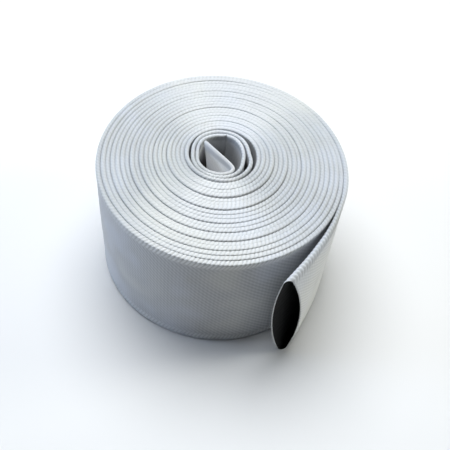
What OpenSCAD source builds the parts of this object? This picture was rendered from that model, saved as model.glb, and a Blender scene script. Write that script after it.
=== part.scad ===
// A length of lay-flat fire hose wound flat into a roll, with its outer end
// standing off the roll and half open. The hose is a woven jacket over a
// rubber liner, and it rests on one of its two folded edges.
// Z is up, the roll's axis is x = y = 0, and the folded edges rest on z = 0.

/* [Hose] */
// Flat width of the empty hose, from one folded edge to the other
hose_w = 105; // [80:1:130]
// Thickness of the empty hose, its two walls together
hose_t = 2.8; // [2.4:0.1:2.8]
// Thickness of the woven jacket
jacket_wall = 0.85; // [0.6:0.05:1.0]
// Gap between the jacket and the liner
bond_gap = 0.08; // [0.04:0.01:0.12]
// Gap between the liner's two walls where the hose is flat
slit = 0.1; // [0.04:0.02:0.16]

/* [Roll] */
// Radius of the first round turn, to the middle of the hose
turn_r_in = 25.3; // [25:0.1:26]
// Radius where the free end leaves the roll, to the middle of the hose
turn_r_out = 93; // [92.5:0.5:97]
// Whole turns between the loose inner loops and the free end
whole_turns = 19; // [10:1:19]
// Pitch of the first round turn
pitch_in = 3.25; // [3.2:0.01:3.3]
// How far the first round turn lies off the roll's axis, in x and y
core_shift = [-1, 7];

/* [Free end] */
// Distance between the two walls' outsides at the mouth
mouth_t = 15; // [8:0.5:16]
// Height that the hose loses as it opens to its mouth
mouth_drop = 2; // [1:0.5:3]
// How much further the wall beside the roll reaches, per mm of opening
mouth_skew = 1.2; // [0:0.1:1.5]
// How much further the mouth's top reaches than its bottom, per mm of height
mouth_rake = 0.08; // [0:0.01:0.1]
// Half the gap in the hose at the bend where the free end swings
bend_gap = 1.2; // [1:0.1:2]

/* [Detail] */
// Flats in one turn of the roll
turn_flats = 30; // [24:1:48]
// Steps between two of the hand-set points of a loose stretch
loose_steps = 2; // [2:1:4]
// Rings along the free end
tail_rings = 15; // [8:1:24]
// Points round the hose on the free end
ring_points = 28; // [16:4:40]

/* [Hidden] */

jacket_colour = [0.88, 0.89, 0.88];
liner_colour = [0.05, 0.05, 0.055];

// A cut runs past the face that it opens by this much
past = 1;
// The liner starts this far inside the hose's outside
liner_inset = jacket_wall + bond_gap;
// Where the round turns start, and where the free end leaves them
start_angle = -90;
leave_angle = -14;
// How far a curve's outermost control points lie beyond its ends
lead = 10;
// Part of the free end's length over which its direction is measured, each way
heading_reach = 0.02;
// How slowly the free end starts to open: 1 is evenly along its length
opening_power = 2.2;
// Corner power of the hose's section, from square (0) to round (1)
flat_power = 0.15;
mouth_power = 0.85;
turns = whole_turns + (start_angle - (leave_angle - 360)) / 360;

// The loose loops in the eye, from the cut inner end to the first round turn
eye_points = [
    [-14.5, 16.2], [-9, 11.5], [-3, 6.6], [3, 1.8], [7, -2],
    [8.8, -5.5], [6.5, -9.2], [0, -11.8], [-7.5, -11], [-13, -8],
    [-17.3, -3], [-19, 4], [-18.9, 13.4], [-15.8, 20.8], [-8.4, 25.4],
    [-0.5, 26.7], [6.5, 25], [12, 19.5], [15, 11.5], [15.4, 3.5],
    [14, -5], [10, -10.8], [4, -14.2], [-3.5, -15], [-11, -13],
    [-17, -8.7], [-21, -2], [-22.4, 6], [-22, 14.6], [-17.7, 23.1],
    [-9.6, 28.6], [-1, 30], [6.5, 28.5], [12.6, 24.5], [16.6, 18.8],
    [19.2, 11], [21.2, 3.5], [20, -4], [15.2, -11.7], [8, -16.8]
];

// The free end, from just past the bend to the middle of the mouth
tail_points = [[86.2, -38.5], [81.8, -51], [76.2, -63.6], [70, -76], [61, -92]];

// ---- The hose's route, seen from above ----

// Radius of the round turns after u turns
function turn_r(u) =
    turn_r_in + pitch_in * u + (turn_r_out - turn_r_in - pitch_in * turns) * pow(u / turns, 2);

// Middle of the round turns after u turns
function turn_mid(u) =
    core_shift * (turn_r_out - turn_r(u)) / (turn_r_out - turn_r_in);

// A point of the round turns, which run clockwise
function turn_at(u) =
    let (a = start_angle - 360 * u)
    turn_mid(u) + turn_r(u) * [cos(a), sin(a)];

// A smooth curve through b and c, a part t of the way between them
function curve(a, b, c, d, t) =
    b + 0.5 * t * ((c - a) + t * ((2 * a - 5 * b + 4 * c - d) + t * (3 * b - a - 3 * c + d)));

// The points from the second to the last but one, with steps between each two
function smooth(p, steps) = [
    for (i = [1 : len(p) - 3], j = [0 : steps - 1])
        curve(p[i - 1], p[i], p[i + 1], p[i + 2], j / steps)
];

// Unit vector from a to b
function heading(a, b) = (b - a) / norm(b - a);

// The direction along a route at its point i
function along(p, i) = heading(p[max(i - 1, 0)], p[min(i + 1, len(p) - 1)]);

// The left side of a direction
function left_of(d) = [-d[1], d[0]];

// The roll stops short of the bend by bend_gap
last_turn = turns - bend_gap / (2 * PI * turn_r_out);
round_turns = [for (k = [0 : floor(last_turn * turn_flats)]) turn_at(k / turn_flats)];
bend = turn_at(turns);
bend_heading = heading(turn_at(last_turn), bend);

eye_lead = 2 * eye_points[0] - eye_points[1];
eye_loops = smooth(concat([eye_lead], eye_points, [round_turns[0], round_turns[1]]), loose_steps);
roll_route = concat(eye_loops, round_turns, [turn_at(last_turn)]);

// A route with its first and last stretches carried straight on by e
function carried_on(p, e) =
    let (last = len(p) - 1)
    [for (i = [0 : last]) p[i] + (i == 0 ? -e : i == last ? e : 0) * along(p, i)];

// A band of half thickness h along a route, from z0 up to z1
module band(p, h, z0, z1) {
    side = [for (i = [0 : len(p) - 1]) h * left_of(along(p, i))];
    one = [for (i = [0 : len(p) - 1]) p[i] + side[i]];
    other = [for (i = [len(p) - 1 : -1 : 0]) p[i] - side[i]];
    translate([0, 0, z0])
        linear_extrude(height = z1 - z0)
            polygon(concat(one, other));
}

// The flat hose's wall along a route, from inset a to inset b, open at both ends
module flat_wall(p, a, b) {
    difference() {
        band(p, hose_t / 2 - a, a, hose_w - a);
        band(carried_on(p, past), hose_t / 2 - b, b, hose_w - b);
    }
}

// ---- The free end ----

tail_start = bend + bend_gap * bend_heading;
tail_lead = tail_start - lead * bend_heading;
tail_last = len(tail_points) - 1;
mouth_heading = heading(tail_points[tail_last - 1], tail_points[tail_last]);
tail_beyond = tail_points[tail_last] + lead * mouth_heading;
tail_control = concat([tail_lead, tail_start], tail_points, [tail_beyond]);

// The free end's middle line at a part f of its length
function tail_at(f) =
    let (spans = len(tail_control) - 3)
    let (i = min(floor(f * spans), spans - 1))
    curve(tail_control[i], tail_control[i + 1], tail_control[i + 2], tail_control[i + 3], f * spans - i);

function tail_heading(f) =
    heading(tail_at(max(f - heading_reach, 0)), tail_at(min(f + heading_reach, 1)));

// How far the hose has opened at a part f of the free end, from 0 to 1
function opened(f) = pow(f, opening_power);

function keep_sign(v, e) = sign(v) * pow(abs(v), e);

// Corner power along the free end: flat with tight folds, then a lens
function fold_power(f) = flat_power + (mouth_power - flat_power) * opened(f);

// A point of the free end, at angle a round a section that is inset from the outside
function tail_point(f, a, inset) =
    let (half_t = (hose_t + (mouth_t - hose_t) * opened(f)) / 2 - inset)
    let (half_w = (hose_w - mouth_drop * opened(f)) / 2 - inset)
    let (d = tail_heading(f))
    let (out = half_t * keep_sign(cos(a), fold_power(f)))
    let (up = half_w * sin(a))
    let (reach = opened(f) * (mouth_rake * up - mouth_skew * out))
    let (p = tail_at(f) + out * left_of(d) + reach * d)
    [p[0], p[1], hose_w / 2 + up];

function tail_ring(f, inset) = [
    for (j = [0 : ring_points - 1]) tail_point(f, 360 * j / ring_points, inset)
];

// Two triangles between points i and i + 1 of two rings that start at a and b
function strip(a, b, i) =
    let (k = (i + 1) % ring_points)
    [[a + i, a + k, b + i], [a + k, b + k, b + i]];

// All the triangles between the ring that starts at a and the one at b
function sleeve(a, b) = [for (i = [0 : ring_points - 1]) each strip(a, b, i)];

// The same triangles facing the other way
function turned(triangles) = [for (t = triangles) [t[0], t[2], t[1]]];

// The free end's wall from inset a to inset b, open at both ends
module open_wall(a, b) {
    outer = [for (i = [0 : tail_rings - 1]) each tail_ring(i / (tail_rings - 1), a)];
    inner = [for (i = [0 : tail_rings - 1]) each tail_ring(i / (tail_rings - 1), b)];
    n = ring_points;
    total = n * tail_rings;
    outside = [for (i = [0 : tail_rings - 2]) each sleeve(i * n, (i + 1) * n)];
    inside = [for (i = [0 : tail_rings - 2]) each turned(sleeve(total + i * n, total + (i + 1) * n))];
    bend_end = sleeve(total, 0);
    mouth_end = sleeve(total - n, 2 * total - n);
    polyhedron(
        points = concat(outer, inner),
        faces = concat(outside, inside, bend_end, mouth_end)
    );
}

// ---- Sub-parts ----

// Woven jacket of the loose loops and all the turns
module jacket_roll() {
    color(jacket_colour)
        flat_wall(roll_route, 0, jacket_wall);
}

// Rubber liner inside the jacket of the roll
module liner_roll() {
    color(liner_colour)
        flat_wall(roll_route, liner_inset, (hose_t - slit) / 2);
}

// Woven jacket of the free end, opening to the mouth
module jacket_tail() {
    color(jacket_colour)
        open_wall(0, jacket_wall);
}

// Rubber liner of the free end
module liner_tail() {
    color(liner_colour)
        open_wall(liner_inset, (hose_t - slit) / 2);
}

jacket_roll();
liner_roll();
jacket_tail();
liner_tail();
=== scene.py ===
"""Looks for the rolled fire hose: a woven jacket over a rubber liner, wound flat, its outer end half open.

The hose is swept along one route, in millimetres, that repeats the route of the CAD solids. It is cut into
lengths only to keep each mesh small; no cut shows, because both sides share their last ring.
"""

import math

import bpy
import numpy as np
from mathutils import Matrix, Vector


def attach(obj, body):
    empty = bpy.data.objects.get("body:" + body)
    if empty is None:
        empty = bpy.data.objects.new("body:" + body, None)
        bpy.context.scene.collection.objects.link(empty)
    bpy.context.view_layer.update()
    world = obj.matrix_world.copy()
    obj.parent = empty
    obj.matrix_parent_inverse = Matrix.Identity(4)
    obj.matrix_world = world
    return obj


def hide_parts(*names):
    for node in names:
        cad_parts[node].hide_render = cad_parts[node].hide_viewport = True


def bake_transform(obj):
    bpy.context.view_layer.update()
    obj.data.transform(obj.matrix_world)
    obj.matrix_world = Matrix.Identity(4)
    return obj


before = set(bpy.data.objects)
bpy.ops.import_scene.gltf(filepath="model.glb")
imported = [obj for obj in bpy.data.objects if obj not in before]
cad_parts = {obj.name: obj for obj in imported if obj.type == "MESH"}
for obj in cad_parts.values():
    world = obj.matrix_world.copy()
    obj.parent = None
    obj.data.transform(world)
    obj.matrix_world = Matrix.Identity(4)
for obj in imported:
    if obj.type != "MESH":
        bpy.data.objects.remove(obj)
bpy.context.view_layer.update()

MM = 0.001

# ---- The hose, in millimetres ----
HOSE_W = 105.0
HOSE_T = 2.8
JACKET_WALL = 0.85
LINER_INSET = 0.9  # from the hose's outside to the liner's
SLIT_INSET = 1.35  # and to the slit down the middle of the flat hose
FOLD_R = HOSE_T / 2
HALF_ROUND = HOSE_W - HOSE_T + math.pi * FOLD_R  # half the way round the flat hose

# ---- Its route, seen from above, in millimetres ----
TURN_R_IN = 25.3
TURN_R_OUT = 93.0
PITCH_IN = 3.25
CORE_SHIFT = np.array([-1.0, 7.0])
START_ANGLE = -90.0
LEAVE_ANGLE = -14.0
WHOLE_TURNS = 19
TURNS = WHOLE_TURNS + (START_ANGLE - (LEAVE_ANGLE - 360)) / 360
EYE_POINTS = [
    (-14.5, 16.2), (-9, 11.5), (-3, 6.6), (3, 1.8), (7, -2),
    (8.8, -5.5), (6.5, -9.2), (0, -11.8), (-7.5, -11), (-13, -8),
    (-17.3, -3), (-19, 4), (-18.9, 13.4), (-15.8, 20.8), (-8.4, 25.4),
    (-0.5, 26.7), (6.5, 25), (12, 19.5), (15, 11.5), (15.4, 3.5),
    (14, -5), (10, -10.8), (4, -14.2), (-3.5, -15), (-11, -13),
    (-17, -8.7), (-21, -2), (-22.4, 6), (-22, 14.6), (-17.7, 23.1),
    (-9.6, 28.6), (-1, 30), (6.5, 28.5), (12.6, 24.5), (16.6, 18.8),
    (19.2, 11), (21.2, 3.5), (20, -4), (15.2, -11.7), (8, -16.8),
]
TAIL_POINTS = [(86.2, -38.5), (81.8, -51), (76.2, -63.6), (70, -76), (61, -92)]

# ---- The opening of the free end ----
MOUTH_T = 14.4  # between the outsides of its two walls
MOUTH_DROP = 2.0  # how much height the hose loses there
MOUTH_SKEW = 1.2  # how much further the wall beside the roll reaches, per mm of opening
MOUTH_RAKE = 0.08  # how much further its top reaches than its foot, per mm of height
MOUTH_TOP_IN = 2.6  # how far its top leans towards the roll
MOUTH_TOP_ON = 2.6  # how far its top runs on ahead
OPEN_POWER = 1.7  # how late along the free end it opens
LENS_POWER = 0.9  # how pointed the lens of its opening is: below 1 is blunter
FOLD_OPENING = 1.6  # how much wider the tight folds get at the mouth
FOLD_OPEN_POWER = 0.7
FOLD_ARCH = 2.6  # how much taller than wide they get
EDGE_THIN = 0.36  # how much of its thickness the cut edge loses
EDGE_LENGTH = 5.0  # over how much of the hose it does so

# ---- Weave ----
RIB_PITCH = 3.03  # along the hose, between two diagonal ribs
RIB_RISE = 6.0  # round the hose, between two diagonal ribs
RIB_HEIGHT = 0.11
RIBS_TOWARDS = math.radians(-68)  # where round the roll the ribs stand out most
RIBS_FADE = (0.30, 0.75)  # cosines of the angle from there, between which they come up
RIBS_LEAST = 0.45  # the part of their height that they keep on the far side
RIBS_OUTERMOST = 1.6  # how much taller they are on the outermost turn
OUTERMOST_FROM = (620, 520)  # the outermost turn begins between these lengths from the mouth
RINGS_PER_RIB = 6
STEP = RIB_PITCH / RINGS_PER_RIB
WALL_LINES = (2.9, 4.3, 3.9)  # upright lines, then the falling ones along and round the hose

# ---- Where the jacket is cut into lengths, in mm from its inner end ----
LENGTH_CUTS = [0, 600, 2300, 4000, 5600, 6930]
LAST_CUT_BEFORE_BEND = 34

rng = np.random.default_rng(7)


# ---- Camera ----

def make_camera():
    """The viewpoint: above and in front of the roll, turned a little about the line of sight."""
    target = Vector((7.9, -1.0, 34.5)) * MM
    distance, elevation, tilt = 795 * MM, math.radians(52), 0.124
    data = bpy.data.cameras.new("camera")
    data.sensor_width = 36
    data.lens = 80
    data.clip_start, data.clip_end = 0.01, 50
    cam = bpy.data.objects.new("camera", data)
    bpy.context.scene.collection.objects.link(cam)
    back = Vector((0, -math.cos(elevation), math.sin(elevation)))
    right, up = Vector((1, 0, 0)), Vector((0, math.sin(elevation), math.cos(elevation)))
    turned_right = right * math.cos(tilt) + up * math.sin(tilt)
    turned_up = up * math.cos(tilt) - right * math.sin(tilt)
    axes = Matrix((turned_right, turned_up, back)).transposed()
    cam.matrix_world = Matrix.Translation(target + back * distance) @ axes.to_4x4()
    bpy.context.scene.camera = cam


# ---- Route ----

def smooth_curve(points, steps):
    """A Catmull-Rom curve from the second point to the last but one."""
    p = np.array(points, float)
    t = (np.arange(steps) / steps)[:, None]
    spans = []
    for a, b, c, d in zip(p[:-3], p[1:-2], p[2:-1], p[3:]):
        spans.append(
            b + 0.5 * t * ((c - a) + t * ((2 * a - 5 * b + 4 * c - d) + t * (3 * b - a - 3 * c + d)))
        )
    return np.concatenate(spans)


def pitch_growth():
    """How much further out the round turns end than the first turn's pitch alone would take them."""
    return TURN_R_OUT - TURN_R_IN - PITCH_IN * TURNS


def turn_radius(u):
    return TURN_R_IN + PITCH_IN * u + pitch_growth() * (u / TURNS) ** 2


def turn_at(u):
    """Points of the round turns, which run clockwise, after u turns."""
    r = turn_radius(np.asarray(u, float))
    a = np.radians(START_ANGLE - 360 * np.asarray(u, float))
    middle = (TURN_R_OUT - r) / (TURN_R_OUT - TURN_R_IN)
    return np.stack([r * np.cos(a), r * np.sin(a)], -1) + middle[..., None] * CORE_SHIFT


def make_route():
    """The whole hose's middle line at even steps, and the lengths at which it changes."""
    round_turns = turn_at(np.arange(0, TURNS, 1 / 240))
    bend = turn_at(TURNS)
    lead = 2 * np.array(EYE_POINTS[0]) - np.array(EYE_POINTS[1])
    eye = smooth_curve([lead, *EYE_POINTS, round_turns[0], turn_at(0.05)], 24)
    last, before = np.array(TAIL_POINTS[-1]), np.array(TAIL_POINTS[-2])
    beyond = last + 10 * (last - before) / np.linalg.norm(last - before)
    tail = smooth_curve([turn_at(TURNS - 0.02), bend, *TAIL_POINTS, beyond], 24)
    line = np.concatenate([eye, round_turns, tail, [TAIL_POINTS[-1]]])
    turn = np.concatenate([
        np.zeros(len(eye)), np.arange(0, TURNS, 1 / 240), np.full(len(tail) + 1, TURNS),
    ])
    at = np.concatenate([[0], np.cumsum(np.linalg.norm(np.diff(line, axis=0), axis=1))])
    length = at[-1]
    count = int(length / STEP)
    s = np.linspace(0, length, count + 1)
    xy = np.stack([np.interp(s, at, line[:, k]) for k in (0, 1)], -1)
    marks = {
        "eye_end": at[len(eye)],
        "bend": at[len(eye) + len(round_turns)],
        "length": length,
    }
    return s, xy, np.interp(s, at, turn), marks


def headings(xy):
    """Unit vectors along the route, from neighbours far enough apart to be smooth."""
    reach = 3
    ahead = np.concatenate([xy[reach:], np.repeat(xy[-1:], reach, 0)])
    behind = np.concatenate([np.repeat(xy[:1], reach, 0), xy[:-reach]])
    d = ahead - behind
    return d / np.linalg.norm(d, axis=1)[:, None]


S, XY, TURN, MARKS = make_route()
HEAD = headings(XY)
LEFT = np.stack([-HEAD[:, 1], HEAD[:, 0]], -1)
LENGTH = MARKS["length"]


def slow_noise(lengths, heights):
    """A smooth, repeatable wander along the hose: a few sine waves of the given lengths."""
    phases = rng.uniform(0, 2 * math.pi, len(lengths))
    return sum(h * np.sin(2 * math.pi * S / w + p) for w, h, p in zip(lengths, heights, phases))


def ramp(x, low, high):
    """0 up to low, 1 from high on, and smooth between them."""
    t = np.clip((x - low) / (high - low), 0, 1)
    return t * t * (3 - 2 * t)


def room_for_folds():
    """Half the local pitch of the turns: the round folds swell until they meet their neighbours."""
    pitch = PITCH_IN + 2 * pitch_growth() * TURN / TURNS**2
    a = np.radians(START_ANGLE - 360 * TURN)
    off_centre = (CORE_SHIFT[0] * np.cos(a) + CORE_SHIFT[1] * np.sin(a)) / (TURN_R_OUT - TURN_R_IN)
    return pitch * (1 - off_centre) / 2


# The turns lie in groups: within a group the folds are pressed together, and between two groups there is a
# groove and a step up towards the eye. Each group ends at the back of the roll, after so many turns.
GROUP_ENDS = [0.5, 4.5, 7.5, 10.5, 12.5, 14.5, 16.5, 18.5]
GROUP_STEPS = [0.2, 0.45, 0.55, 0.5, 0.3, 0.35, 0.55, 0.6]  # in mm
GROUP_BLEND = 0.14  # over how much of a turn, each way, one group gives way to the next
GROUP_PULL = 0.29  # how far the folds beside a groove are pulled away from it, in mm
FLAT_FOLD = 0.5  # below 1 the pressed folds are flatter than round


def group_height():
    """How far each ring is raised by the steps between the groups outside it."""
    return sum(
        step * (1 - ramp(TURN, end - GROUP_BLEND, end + GROUP_BLEND))
        for end, step in zip(GROUP_ENDS, GROUP_STEPS)
    )


def group_shift():
    """How far each ring's folds are pulled outwards, towards the middle of their group."""
    at, pull = [], []
    for end in GROUP_ENDS:
        at += [end - GROUP_BLEND, end + GROUP_BLEND]
        pull += [-GROUP_PULL, GROUP_PULL]
    return np.interp(TURN, at, pull, left=0, right=0)


# ---- How the hose changes along its length: one value for each ring, in mm or as a share from 0 to 1 ----

EYE_FOLD = 1.45  # half the thickness of a fold in the eye, where nothing presses on it
FOLD_OVERLAP = 0.06  # how far neighbouring folds are pressed into each other, and as much again at the back
LEAST_RAISED = 0.1  # keeps the lowest rib off the floor
STRIP_RAISED = 2.4  # how much higher the cut inner end stands
STRIP_RISE = 34  # over what length it comes down
BASE_DRAWN_IN = 5.6  # how far the outermost turn's foot is drawn in at the left front
BASE_TOWARDS = math.radians(212)  # where that is, round the roll
BASE_TURNS = 17  # each turn further in is drawn in by one part in so many less,
BASE_LAST = 9  # down to this turn
BASE_POWER = 1.4  # above 1 the drawing in lies nearer to the foot
OUTER_TURN = 560  # the length of one of the outer turns, roughly

RADIUS = np.hypot(XY[:, 0], XY[:, 1])
FRONT_OR_BACK = ramp(np.abs(XY[:, 1]) / RADIUS, 0.3, 0.85)  # the turns lie in groups there, singly at the sides
FREE = np.clip((S - MARKS["bend"]) / (LENGTH - MARKS["bend"]), 0, 1)
OPENED = FREE**OPEN_POWER
FOLD_OPENED = FOLD_OPENING * FREE**FOLD_OPEN_POWER
THICKNESS = 1 - EDGE_THIN * ramp(S, LENGTH - EDGE_LENGTH, LENGTH)
RAISED = LEAST_RAISED + group_height() + STRIP_RAISED * (1 - ramp(S, 0, STRIP_RISE))
RAISED = RAISED + 0.3 * np.maximum(slow_noise([410, 263, 710, 171], [1, 0.8, 0.8, 0.4]) + 1.2, 0)
SWELL = slow_noise([97, 143, 61], [0.03, 0.03, 0.02])
IN_TURNS = ramp(S, MARKS["eye_end"] - 40, MARKS["eye_end"] + 120)
IN_TURNS = IN_TURNS * (1 - ramp(S, MARKS["bend"] - 25, MARKS["bend"] + 15))
AT_BACK = ramp(XY[:, 1], 10, 80) * IN_TURNS  # the turns are pressed together more there
FOLD_SHIFT = group_shift() * IN_TURNS * (0.35 + 0.65 * FRONT_OR_BACK)
FOLD_GAP = -FOLD_OVERLAP + slow_noise([87, 139, 223], [0.03, 0.03, 0.03]) - FOLD_OVERLAP * AT_BACK
FOLD_POWER = 1 - (1 - FLAT_FOLD) * IN_TURNS * FRONT_OR_BACK
FOLD_WIDE = EYE_FOLD + (room_for_folds() - FOLD_GAP - EYE_FOLD) * IN_TURNS
FROM_RIBS = (XY[:, 0] * math.cos(RIBS_TOWARDS) + XY[:, 1] * math.sin(RIBS_TOWARDS)) / RADIUS
RIBS = RIB_HEIGHT * (RIBS_LEAST + (1 - RIBS_LEAST) * ramp(FROM_RIBS, *RIBS_FADE)) * ramp(S, 30, 60)
RIBS = RIBS * (1 + (RIBS_OUTERMOST - 1) * ramp(S, LENGTH - OUTERMOST_FROM[0], LENGTH - OUTERMOST_FROM[1]))
FROM_OUTSIDE = np.clip((LENGTH - S) / OUTER_TURN, 0, BASE_LAST)  # about how many turns lie outside this one
FROM_LEFT_FRONT = np.arctan2(XY[:, 1], XY[:, 0]) - BASE_TOWARDS
BASE_IN = BASE_DRAWN_IN * (1 - FROM_OUTSIDE / BASE_TURNS) * (1 - OPENED)
BASE_IN = BASE_IN * (0.65 + 0.35 * np.cos(FROM_LEFT_FRONT))

# The loose strip across the eye: its foot leans forward and is drawn along, its top curls back
STRIP = 1 - ramp(S, 12, 40)
STRIP_LEAN = 8.0
STRIP_DRAW = 16.5
CURL_POWER = 5  # the higher, the nearer to its top it curls
# A crease in the innermost loop, on its inside and near its top
CREASE_AT = 107.0
CREASE_DEPTH = 1.1
CREASE_WIDTH = 1.3
CREASE = CREASE_DEPTH * np.exp(-(((S - CREASE_AT) / CREASE_WIDTH) ** 2))


# ---- The hose's section ----

def ring_template(side_points, fold_points):
    """Points round the hose, in order: whether each is on a wall or a fold, and where.

    On a wall, place runs from -1 at its foot to 1 at its top; on a fold it is an angle. v is the way round.
    side is 1 on the outer wall and the top fold, and -1 on the inner wall and the bottom fold. spread is how
    far v moves for each mm that the folds' radius grows.
    """
    near = np.array([0.91, 0.94, 0.962, 0.98, 0.992] if side_points else [0.93, 0.975])  # beside the folds
    inner = np.linspace(-0.87, 0.87, side_points)
    q = np.concatenate([-near[::-1], inner, near])
    fold = np.linspace(0, math.pi, fold_points)
    half_wall = HOSE_W / 2 - FOLD_R
    counts = [len(q), fold_points, len(q), fold_points]
    on_fold = np.repeat([False, True, False, True], counts)
    place = np.concatenate([q, fold, -q, math.pi + fold])
    v = np.concatenate([
        q * half_wall,
        half_wall + FOLD_R * fold,
        HALF_ROUND + q * half_wall,
        HALF_ROUND + half_wall + FOLD_R * fold,
    ])
    side = np.repeat([1, 1, -1, -1], counts)
    quarter = math.pi / 2
    spread = np.concatenate([-q * quarter, fold - quarter, -q * quarter, fold - quarter])
    return {"fold": on_fold, "place": place, "v": v, "side": side, "spread": spread}


def way_round(rows, template):
    """v for each ring and point: the folds take up more of the way round where they are wider."""
    grown = (FOLD_OPENED + (FOLD_WIDE - FOLD_R) / 2)[rows]
    return template["v"][None, :] + grown[:, None] * template["spread"][None, :]


def skin(rows, template, inset, ribs):
    """The hose's surface at an inset from its outside, as an array of rings by points by x, y, z, in mm."""
    fold, place, side = template["fold"], template["place"], template["side"]
    opened = OPENED[rows][:, None]
    q = np.where(fold, 0, place)[None, :]
    angle = np.where(fold, place, 0)[None, :]
    # The flat hose: two walls, a little thinner than the folds that join them
    fold_opened = FOLD_OPENED[rows][:, None]
    fold_w = FOLD_WIDE[rows][:, None] + fold_opened
    fold_h = FOLD_R + FOLD_ARCH * fold_opened
    wall_h = (HOSE_W - MOUTH_DROP * opened) / 2 - fold_h
    by_fold = ramp(np.abs(q), 0.88, 1.0)
    wall_t = FOLD_R + SWELL[rows][:, None] + fold_opened
    wall_t = wall_t + (fold_w - wall_t) * by_fold
    lens = np.maximum((MOUTH_T - HOSE_T) / 2 * opened - fold_opened, 0) * (1 - q**2) ** LENS_POWER
    power = FOLD_POWER[rows][:, None]
    across, rise = np.cos(angle), np.sin(angle)
    across, rise = np.sign(across) * np.abs(across) ** power, np.sign(rise) * np.abs(rise) ** power
    out = np.where(fold, fold_w * across, side[None, :] * (wall_t + lens))
    out = out + FOLD_SHIFT[rows][:, None] * np.where(fold, 1, by_fold)
    up = np.where(fold, side[None, :] * wall_h + fold_h * rise, q * wall_h)
    # Inset and ribs, along the outward direction in the section's plane
    depth = -inset * THICKNESS[rows][:, None]
    if ribs:
        phase = 2 * math.pi * (S[rows][:, None] / RIB_PITCH + way_round(rows, template) / RIB_RISE)
        on_wall = np.interp(np.abs(place), [0.91, 0.94, 0.975, 1.0], [0.0, 0.25, 0.7, 1.0])
        weight = np.where(fold, 1.0, on_wall)
        depth = depth + RIBS[rows][:, None] * weight[None, :] * (np.cos(phase) - 0.3)
    out = out + np.where(fold, np.cos(angle), side[None, :]) * depth
    up = up + np.where(fold, np.sin(angle), 0) * depth
    # Creased, leaning and drawn stretches. t is the height, from 0 at the foot to 1 at the top
    t = np.clip(up / HOSE_W + 0.5, 0, 1)
    out = out + CREASE[rows][:, None] * ramp(t, 0.80, 0.96) * (0.5 - out / HOSE_T)
    below = (1 - t**CURL_POWER) * STRIP[rows][:, None]
    lean = -BASE_IN[rows][:, None] * (1 - t) ** BASE_POWER - STRIP_LEAN * below - MOUTH_TOP_IN * opened * t**2
    reach = opened * (MOUTH_RAKE * up + MOUTH_TOP_ON * t**2 - MOUTH_SKEW * out) + STRIP_DRAW * below
    xy = (
        XY[rows][:, None, :]
        + (out + lean)[..., None] * LEFT[rows][:, None, :]
        + reach[..., None] * HEAD[rows][:, None, :]
    )
    z = HOSE_W / 2 + up + (RAISED * (1 - OPENED))[rows][:, None]
    return np.concatenate([xy, z[..., None]], -1)


# ---- Meshes ----

# The parts of the bake square that the two skins and the two cut ends of a piece fill
OUTER_BAND, INNER_BAND = (0.0, 0.88), (0.89, 0.98)
FIRST_RIM_BAND, LAST_RIM_BAND = (0.982, 0.989), (0.991, 0.998)
BAKE_MARGIN = 0.004  # left free round each row of the bake square


def bake_rows(length, share):
    """How many rows the bake layout cuts a length of hose into, so that it fills a square."""
    return max(1, round(math.sqrt(length * share / (2 * HALF_ROUND))))


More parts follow.
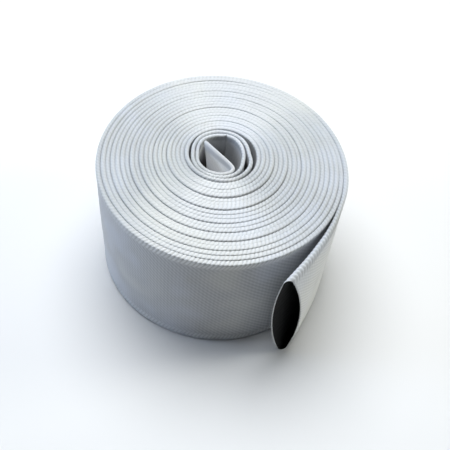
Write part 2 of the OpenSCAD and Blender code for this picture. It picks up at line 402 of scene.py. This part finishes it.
class Surface:
    """Collects the points, faces and both UV layouts of one piece."""

    def __init__(self):
        self.points, self.faces, self.hose_uv, self.bake_uv, self.smooth = [], [], [], [], []
        self.count = 0

    def add_points(self, rings):
        start = self.count
        self.points.append(rings.reshape(-1, 3))
        self.count += rings.shape[0] * rings.shape[1]
        return start

    def add_quads(self, quads, hose_uv, bake_uv, smooth=True):
        self.faces.append(quads.reshape(-1, 4))
        self.hose_uv.append(hose_uv.reshape(-1, 4, 2))
        self.bake_uv.append(bake_uv.reshape(-1, 4, 2))
        self.smooth.append(np.full(quads.reshape(-1, 4).shape[0], smooth))

    def add_sleeve(self, rings, s, v, outward, band):
        """Quads between the rings of one skin. v is the way round at each of its rings and points.

        band is the part of the bake square that the skin fills.
        """
        start = self.add_points(rings)
        n, m = rings.shape[:2]
        i, j = np.meshgrid(np.arange(n - 1), np.arange(m), indexing="ij")
        k = (j + 1) % m
        corners = [i * m + j, i * m + k, (i + 1) * m + k, (i + 1) * m + j]
        if not outward:
            corners = corners[::-1]
        v = np.concatenate([v, v[:, :1] + 2 * HALF_ROUND], 1)
        s0, s1 = s[i], s[i + 1]
        hose = [(s0, v[i, j]), (s0, v[i, j + 1]), (s1, v[i + 1, j + 1]), (s1, v[i + 1, j])]
        low, high = band
        rows = bake_rows(s[-1] - s[0], high - low)
        row_length = (s[-1] - s[0]) / rows * 1.0001  # a trifle more, so that the last quad is in the last row
        row = np.floor(((s0 + s1) / 2 - s[0]) / row_length)
        inside = 1 - 2 * BAKE_MARGIN
        x0, x1 = (BAKE_MARGIN + inside * ((x - s[0]) / row_length - row) for x in (s0, s1))
        y0, y1 = (low + (high - low) * (row + BAKE_MARGIN + inside * y / m) / rows for y in (j, j + 1))
        bake = [(x0, y0), (x0, y1), (x1, y1), (x1, y0)]
        if not outward:
            hose, bake = hose[::-1], bake[::-1]
        hose, bake = (np.stack([np.stack(corner, -1) for corner in uv], 2) for uv in (hose, bake))
        self.add_quads(start + np.stack(corners, 2), hose * MM, bake)
        return start, n, m

    def add_rim(self, outer, inner, s, v, at_end, band):
        """Quads across the wall at one cut end, between the last rings of the two skins."""
        (a, n, m), (b, k, _) = outer, inner
        ring_a = a + (n - 1) * m if at_end else a
        ring_b = b + (k - 1) * m if at_end else b
        j = np.arange(m)
        nxt = (j + 1) % m
        quads = np.stack([ring_a + j, ring_a + nxt, ring_b + nxt, ring_b + j], -1)
        v_end = np.concatenate([v[1:], [v[0] + 2 * HALF_ROUND]])
        far = np.full(m, s)
        hose = np.stack([
            np.stack([far, v], -1), np.stack([far, v_end], -1),
            np.stack([far + 1, v_end], -1), np.stack([far + 1, v], -1),
        ], 1) * MM
        low, high = band
        bake = np.stack([
            np.stack([j / m, np.full(m, low)], -1), np.stack([(j + 1) / m, np.full(m, low)], -1),
            np.stack([(j + 1) / m, np.full(m, high)], -1), np.stack([j / m, np.full(m, high)], -1),
        ], 1)
        if at_end:
            quads, hose, bake = quads[:, ::-1], hose[:, ::-1], bake[:, ::-1]
        self.add_quads(quads[:, ::-1], hose[:, ::-1], bake[:, ::-1], smooth=False)

    def finish(self, name, material):
        points = np.concatenate(self.points) * MM
        faces = np.concatenate(self.faces)
        mesh = bpy.data.meshes.new(name)
        mesh.vertices.add(len(points))
        mesh.vertices.foreach_set("co", points.astype(np.float32).ravel())
        mesh.loops.add(faces.size)
        mesh.loops.foreach_set("vertex_index", faces.astype(np.int32).ravel())
        mesh.polygons.add(len(faces))
        mesh.polygons.foreach_set("loop_start", (np.arange(len(faces)) * 4).astype(np.int32))
        mesh.update(calc_edges=True)
        mesh.polygons.foreach_set("use_smooth", np.concatenate(self.smooth))
        for layer, data in (("Hose", self.hose_uv), ("OFBake", self.bake_uv)):
            uv = mesh.uv_layers.new(name=layer)
            uv.data.foreach_set("uv", np.concatenate(data).astype(np.float32).ravel())
        mesh.uv_layers["Hose"].active_render = True
        mesh.uv_layers.active = mesh.uv_layers["Hose"]
        mesh.materials.append(material)
        mesh.validate()
        piece = bpy.data.objects.new(name, mesh)
        bpy.context.scene.collection.objects.link(piece)
        return piece


def sample_rows(first, last, every):
    """Ring numbers from first to last, both kept, with every so many between them."""
    rows = np.arange(first, last, every)
    return np.append(rows, last)


def hose_piece(name, first, last, material, walls, every, inner_every, side_points, fold_points, ribs):
    """One closed length of jacket or liner, from ring first to ring last.

    walls holds the insets of its two skins. every and inner_every are how many rings each skin goes on by.
    """
    template = ring_template(side_points, fold_points)
    v = template["v"]
    surface = Surface()
    rows = sample_rows(first, last, every)
    outer = surface.add_sleeve(
        skin(rows, template, walls[0], ribs), S[rows], way_round(rows, template), True, OUTER_BAND
    )
    rows = sample_rows(first, last, inner_every)
    inner = surface.add_sleeve(
        skin(rows, template, walls[1], False), S[rows], way_round(rows, template), False, INNER_BAND
    )
    surface.add_rim(outer, inner, S[first], v, False, FIRST_RIM_BAND)
    surface.add_rim(outer, inner, S[last], v, True, LAST_RIM_BAND)
    return surface.finish(name, material)


# ---- Materials ----

class Nodes:
    """Short ways to add and join shader nodes."""

    def __init__(self, name):
        self.material = bpy.data.materials.new(name)
        self.material.use_nodes = True
        self.tree = self.material.node_tree
        self.shader = self.tree.nodes["Principled BSDF"]

    def add(self, kind, **values):
        node = self.tree.nodes.new(kind)
        for key, value in values.items():
            setattr(node, key, value)
        return node

    def put(self, value, socket):
        if hasattr(value, "is_output"):
            self.tree.links.new(value, socket)
        else:
            socket.default_value = value

    def math(self, operation, *values):
        node = self.add("ShaderNodeMath", operation=operation)
        for value, socket in zip(values, node.inputs):
            self.put(value, socket)
        return node.outputs[0]

    def mix(self, factor, a, b):
        node = self.add("ShaderNodeMix", data_type="RGBA")
        self.put(factor, node.inputs["Factor"])
        self.put(a, node.inputs["A"])
        self.put(b, node.inputs["B"])
        return node.outputs["Result"]

    def noise(self, vector, scale, detail=3.0, roughness=0.55):
        node = self.add("ShaderNodeTexNoise")
        self.put(vector, node.inputs["Vector"])
        node.inputs["Scale"].default_value = scale
        node.inputs["Detail"].default_value = detail
        node.inputs["Roughness"].default_value = roughness
        return node.outputs["Fac"]

    def between(self, value, low, high, to_low=0.0, to_high=1.0):
        """Runs smoothly from to_low to to_high as the value goes from low to high."""
        node = self.add("ShaderNodeMapRange", interpolation_type="SMOOTHSTEP")
        sockets = {"Value": value, "From Min": low, "From Max": high, "To Min": to_low, "To Max": to_high}
        for key, number in sockets.items():
            self.put(number, node.inputs[key])
        return node.outputs["Result"]

    def wave(self, phase):
        """A cosine between 0 and 1."""
        return self.math("MULTIPLY_ADD", self.math("COSINE", phase), 0.5, 0.5)

    def split(self, vector):
        node = self.add("ShaderNodeSeparateXYZ")
        self.put(vector, node.inputs[0])
        return node.outputs

    def bump(self, height, distance, strength, normal=None):
        node = self.add("ShaderNodeBump")
        self.put(height, node.inputs["Height"])
        node.inputs["Distance"].default_value = distance
        node.inputs["Strength"].default_value = strength
        if normal is not None:
            self.put(normal, node.inputs["Normal"])
        return node.outputs["Normal"]


def eye_painted_shade(n, along, height):
    """How much painted shade darkens the roll's eye, by the length along the hose and the height, in metres.

    The painted shade lies deep down, and in the gaps between the loops it comes nearly up to the top, less so
    behind the strip. The strip and the right of the innermost loop, from the crease on, have it only at their
    foot.
    """
    # All of this is the amount of painted shade, deep in the eye and in the gaps between its loops
    crease = (0.1060, 0.1085)
    in_eye = n.between(along, 0.300, 0.330, 1.0, 0.0)
    strip = n.between(along, 0.045, 0.055, 1.0, 0.0)
    behind = n.math("MULTIPLY", n.between(along, 0.060, 0.075), n.between(along, *crease, 1.0, 0.0))
    right = n.math("MULTIPLY", n.between(along, *crease), n.between(along, 0.140, 0.155, 1.0, 0.0))
    foot_shade_only = n.math("MAXIMUM", strip, right)
    gaps_from = n.math("MULTIPLY_ADD", behind, -0.018, 0.097)
    gaps_to = n.math("MULTIPLY_ADD", behind, -0.003, 0.106)
    gaps = n.between(height, gaps_from, gaps_to, 0.92, 0.0)
    foot = n.between(height, 0.045, 0.080, 0.85, 0.0)
    gap_shade = n.math("MULTIPLY", n.math("SUBTRACT", 1.0, foot_shade_only), gaps)
    return n.math("MULTIPLY", in_eye, n.math("ADD", n.math("MULTIPLY", foot_shade_only, foot), gap_shade))


def woven_jacket():
    """White circular-woven polyester: diagonal ribs of tight stitches, slightly uneven, with painted light and
    shade.
    """
    n = Nodes("woven_jacket")
    uv = n.add("ShaderNodeUVMap", uv_map="Hose").outputs[0]
    place = n.add("ShaderNodeTexCoord").outputs["Object"]
    along, around, _ = n.split(uv)
    x, y, height = n.split(place)
    end = LENGTH * MM

    def cycles(length, pitch):
        """The phase of a pattern that repeats every so many millimetres."""
        return n.math("MULTIPLY", length, 2 * math.pi / (pitch * MM))

    # The ribs of the folds: a wobbling diagonal rib, crossed by stitches and threads
    wobble = n.math("MULTIPLY", n.math("SUBTRACT", n.noise(uv, 240, 1.0), 0.5), 0.9)
    ribs_along, ribs_around = cycles(along, RIB_PITCH), cycles(around, RIB_RISE)
    rib = n.wave(n.math("ADD", n.math("ADD", ribs_along, ribs_around), wobble))
    stitch = n.wave(n.math("SUBTRACT", ribs_along, n.math("MULTIPLY", ribs_around, 3.0)))
    thread = n.wave(n.math("MULTIPLY", ribs_around, 6.0))
    finer = n.math("ADD", n.math("MULTIPLY", stitch, 0.16), n.math("MULTIPLY", thread, 0.10))
    weave = n.math("ADD", n.math("MULTIPLY", rib, 0.74), finer)

    # 1 on the folds, where the ribs stand open, and 0 on the walls, where the cloth is drawn flat. On the
    # outermost turn they reach further down the wall. The sine is that of the way round, 1 on each fold.
    far_start, start = (end - length * MM for length in OUTERMOST_FROM)
    before_mouth = n.between(along, end - 0.11, end - 0.03, 1.0, 0.3)
    outermost = n.math("MULTIPLY", n.between(along, far_start, start), before_mouth)
    half_turns = n.math("MULTIPLY", around, math.pi / (HALF_ROUND * MM))
    on_fold = n.between(
        n.math("ABSOLUTE", n.math("SINE", half_turns)),
        n.math("MULTIPLY_ADD", outermost, -0.020, 0.978),
        n.math("MULTIPLY_ADD", outermost, -0.010, 0.996),
    )

    # On the walls the weave shows as two faint sets of lines, one upright and one falling across it
    upright = n.math("COSINE", cycles(along, WALL_LINES[0]))
    falling = n.math("COSINE", n.math("SUBTRACT", cycles(along, WALL_LINES[1]), cycles(around, WALL_LINES[2])))
    lines = n.math("MULTIPLY_ADD", n.math("MULTIPLY_ADD", upright, 0.35, falling), 0.36, 0.5)

    # Round the roll: how far back, how far to either side, and how much the ribs stand out there
    at_back = n.between(y, 0.015, 0.080)
    from_middle = n.math("SQRT", n.math("ADD", n.math("POWER", x, 2.0), n.math("POWER", y, 2.0)))
    sideways = n.between(n.math("DIVIDE", n.math("ABSOLUTE", x), from_middle), 0.35, 0.90)
    towards_x = n.math("MULTIPLY", x, math.cos(RIBS_TOWARDS))
    towards_y = n.math("MULTIPLY", y, math.sin(RIBS_TOWARDS))
    towards = n.math("DIVIDE", n.math("ADD", towards_x, towards_y), from_middle)
    standing = n.between(towards, *RIBS_FADE, RIBS_LEAST, 1.0)

    # The folds' colour: white yarn with painted shade, darker at the back and the sides and greyer between the
    # ribs
    # Painted shade: the yarn is painted greyer at the back and greyer still at the sides, where less light
    # falls
    white_and_painted_shade = n.mix(at_back, (0.635, 0.648, 0.655, 1), (0.565, 0.58, 0.595, 1))
    white_and_painted_shade = n.mix(sideways, white_and_painted_shade, (0.465, 0.485, 0.50, 1))
    # Painted shade between the ribs, stronger on the outermost turn and where the ribs stand out most
    rib_painted_shade = n.mix(n.math("MULTIPLY_ADD", outermost, 0.15, 0.30), white_and_painted_shade, (0.20, 0.20, 0.20, 1))
    between_ribs = n.math("MULTIPLY", n.between(weave, 0.10, 0.62, 1.0, 0.0), standing)
    on_folds = n.mix(between_ribs, white_and_painted_shade, rib_painted_shade)

    # The walls' colour: the same cloth with painted light and shade, whitest where the hose is loose in the
    # eye, greyest on the roll
    # Painted light: the loose walls in the eye are painted near white
    eye_wall_painted_light = n.mix(lines, (0.88, 0.89, 0.895, 1), (0.93, 0.935, 0.94, 1))
    eye_wall_painted_light = n.mix(n.between(on_fold, 0.0, 1.0), eye_wall_painted_light, (0.52, 0.53, 0.54, 1))
    # Painted shade: the walls on the roll are painted dark grey
    roll_wall_painted_shade = n.mix(lines, (0.335, 0.345, 0.36, 1), (0.505, 0.513, 0.527, 1))
    free = n.mix(lines, (0.53, 0.54, 0.54, 1), (0.68, 0.69, 0.685, 1))
    in_roll = n.mix(n.between(along, 0.30, 0.40), eye_wall_painted_light, roll_wall_painted_shade)
    on_walls = n.mix(n.between(along, end - 0.110, end - 0.070), in_roll, free)

    # Both together, with cool and warm patches, a little soil, flecks, and the painted shade in the eye
    ribbed = n.math("MULTIPLY", on_fold, n.between(along, 0.030, 0.060))
    colour = n.mix(ribbed, on_walls, on_folds)
    patches = n.noise(place, 17, 2.0)
    colour = n.mix(n.between(patches, 0.35, 0.52, 0.35, 0.0), colour, (0.54, 0.58, 0.67, 1))
    colour = n.mix(n.between(patches, 0.52, 0.70, 0.0, 0.30), colour, (0.66, 0.665, 0.60, 1))
    soil = n.noise(place, 46, 5.0, 0.62)
    colour = n.mix(n.between(soil, 0.55, 0.80, 0.0, 0.22), colour, (0.40, 0.385, 0.35, 1))
    fleck = n.noise(uv, 900, 1.0)
    colour = n.mix(n.between(fleck, 0.30, 0.70, 0.12, 0.0), colour, (0.46, 0.47, 0.48, 1))
    # Painted shade in the eye: its depths and the gaps between its loops are painted near black
    colour = n.mix(eye_painted_shade(n, along, height), colour, (0.09, 0.075, 0.065, 1))
    n.put(colour, n.shader.inputs["Base Color"])

    n.put(n.between(soil, 0.35, 0.75, 0.66, 0.84), n.shader.inputs["Roughness"])
    n.shader.inputs["Sheen Weight"].default_value = 0.12
    n.shader.inputs["Sheen Roughness"].default_value = 0.45
    n.shader.inputs["Specular IOR Level"].default_value = 0.32

    # From the coarsest unevenness to the finest: slack cloth, ribs, wall lines, fuzz
    normal = n.bump(n.noise(place, 60, 2.0), 0.0012, 0.25)
    proud = n.math("MULTIPLY", ribbed, standing)
    normal = n.bump(n.math("MULTIPLY", weave, proud), 0.00015, 0.85, normal)
    normal = n.bump(lines, 0.00007, 0.6, normal)
    normal = n.bump(n.noise(uv, 2600, 2.0), 0.00006, 0.5, normal)
    n.put(normal, n.shader.inputs["Normal"])
    return n.material


def rubber_liner():
    """Black rubber with the jacket's weave faintly showing through it, dusty in places."""
    n = Nodes("rubber_liner")
    uv = n.add("ShaderNodeUVMap", uv_map="Hose").outputs[0]
    place = n.add("ShaderNodeTexCoord").outputs["Object"]
    _, around, _ = n.split(uv)
    rib = n.math("COSINE", n.math("MULTIPLY", around, 2 * math.pi / (RIB_RISE * MM)))
    dust = n.noise(place, 70, 5.0, 0.65)
    black, dusty = (0.006, 0.006, 0.0065, 1), (0.035, 0.034, 0.032, 1)
    n.put(n.mix(n.between(dust, 0.50, 0.80, 0.0, 0.45), black, dusty), n.shader.inputs["Base Color"])
    n.put(n.between(dust, 0.35, 0.75, 0.70, 0.90), n.shader.inputs["Roughness"])
    n.shader.inputs["Specular IOR Level"].default_value = 0.12
    normal = n.bump(rib, 0.00008, 0.5)
    normal = n.bump(n.noise(uv, 700, 3.0), 0.0001, 0.4, normal)
    n.put(normal, n.shader.inputs["Normal"])
    return n.material


def floor_surface():
    """A pale, smooth studio floor with the faintest unevenness."""
    n = Nodes("studio_floor")
    place = n.add("ShaderNodeTexCoord").outputs["Object"]
    shade = n.noise(place, 6, 2.0)
    n.put(n.mix(shade, (0.72, 0.722, 0.725, 1), (0.74, 0.74, 0.74, 1)), n.shader.inputs["Base Color"])
    n.shader.inputs["Roughness"].default_value = 0.9
    n.shader.inputs["Specular IOR Level"].default_value = 0.1
    return n.material


# ---- Pieces ----

def row_at(s):
    """The ring nearest to a length along the hose."""
    return int(round(s / LENGTH * (len(S) - 1)))


def make_jacket(material):
    """The jacket of the roll in lengths, and that of the free end."""
    cuts = [row_at(s) for s in (*LENGTH_CUTS, MARKS["bend"] - LAST_CUT_BEFORE_BEND)]
    for number, (first, last) in enumerate(zip(cuts[:-1], cuts[1:]), 1):
        core, outermost = number == 1, number == len(cuts) - 1
        piece = hose_piece(
            f"jacket_turns_{number}", first, last, material, (0, JACKET_WALL),
            every=1, inner_every=3 if core else 12,
            side_points=9 if core or outermost else 0, fold_points=8, ribs=True,
        )
        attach(piece, "roll")
        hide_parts("jacket_roll")
    first, last = cuts[-1], len(S) - 1
    piece = hose_piece(
        "jacket_free_end", first, last, material, (0, JACKET_WALL),
        every=1, inner_every=2, side_points=25, fold_points=12, ribs=True,
    )
    join_free_end(piece)
    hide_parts("jacket_tail")


def make_liner(material):
    """The liner of the roll, unseen but for its cut ends, and that of the free end."""
    cut = row_at(MARKS["bend"] - LAST_CUT_BEFORE_BEND)
    piece = hose_piece(
        "liner_turns", 0, cut, material, (LINER_INSET, SLIT_INSET),
        every=6, inner_every=6, side_points=0, fold_points=5, ribs=False,
    )
    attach(piece, "roll")
    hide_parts("liner_roll")
    piece = hose_piece(
        "liner_free_end", cut, len(S) - 1, material, (LINER_INSET, SLIT_INSET),
        every=2, inner_every=2, side_points=25, fold_points=12, ribs=False,
    )
    join_free_end(piece)
    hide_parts("liner_tail")


def join_free_end(piece):
    """Applies a piece's placement to its mesh."""
    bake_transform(piece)


def make_floor(material):
    size = 6.0
    mesh = bpy.data.meshes.new("studio_floor")
    corners = [(-size, -size, 0), (size, -size, 0), (size, size, 0), (-size, size, 0)]
    mesh.from_pydata(corners, [], [(0, 1, 2, 3)])
    mesh.materials.append(material)
    floor = bpy.data.objects.new("studio_floor", mesh)
    floor.location = (0, 0, -0.0002)
    bpy.context.scene.collection.objects.link(floor)


def area_light(name, place, aim, size, power, colour):
    data = bpy.data.lights.new(name, "AREA")
    data.shape = "DISK"
    data.size = size
    data.energy = power
    data.color = colour
    light = bpy.data.objects.new(name, data)
    light.location = place
    light.rotation_mode = "QUATERNION"
    light.rotation_quaternion = (Vector(aim) - Vector(place)).to_track_quat("-Z", "Y")
    bpy.context.scene.collection.objects.link(light)


def make_light():
    """Studio light: a soft panel overhead and behind, a cool fill at the left, a warm one at the right."""
    middle = (0, 0, 0.06)
    area_light("overhead", (-0.2, 0.45, 1.5), middle, 1.5, 37, (0.945, 0.975, 1.0))
    area_light("left_fill", (-1.5, -0.1, 0.5), middle, 0.7, 10, (0.64, 0.78, 1.0))
    area_light("right_fill", (1.35, 0.3, 0.5), middle, 0.5, 9, (1.0, 1.0, 0.90))
    world = bpy.data.worlds.new("studio")
    world.use_nodes = True
    background = world.node_tree.nodes["Background"]
    background.inputs["Color"].default_value = (0.93, 0.95, 1.0, 1)
    background.inputs["Strength"].default_value = 0.03
    bpy.context.scene.world = world
    view = bpy.context.scene.view_settings
    view.view_transform = "Standard"
    view.look = "None"


make_camera()
make_floor(floor_surface())
make_light()
make_jacket(woven_jacket())
make_liner(rubber_liner())
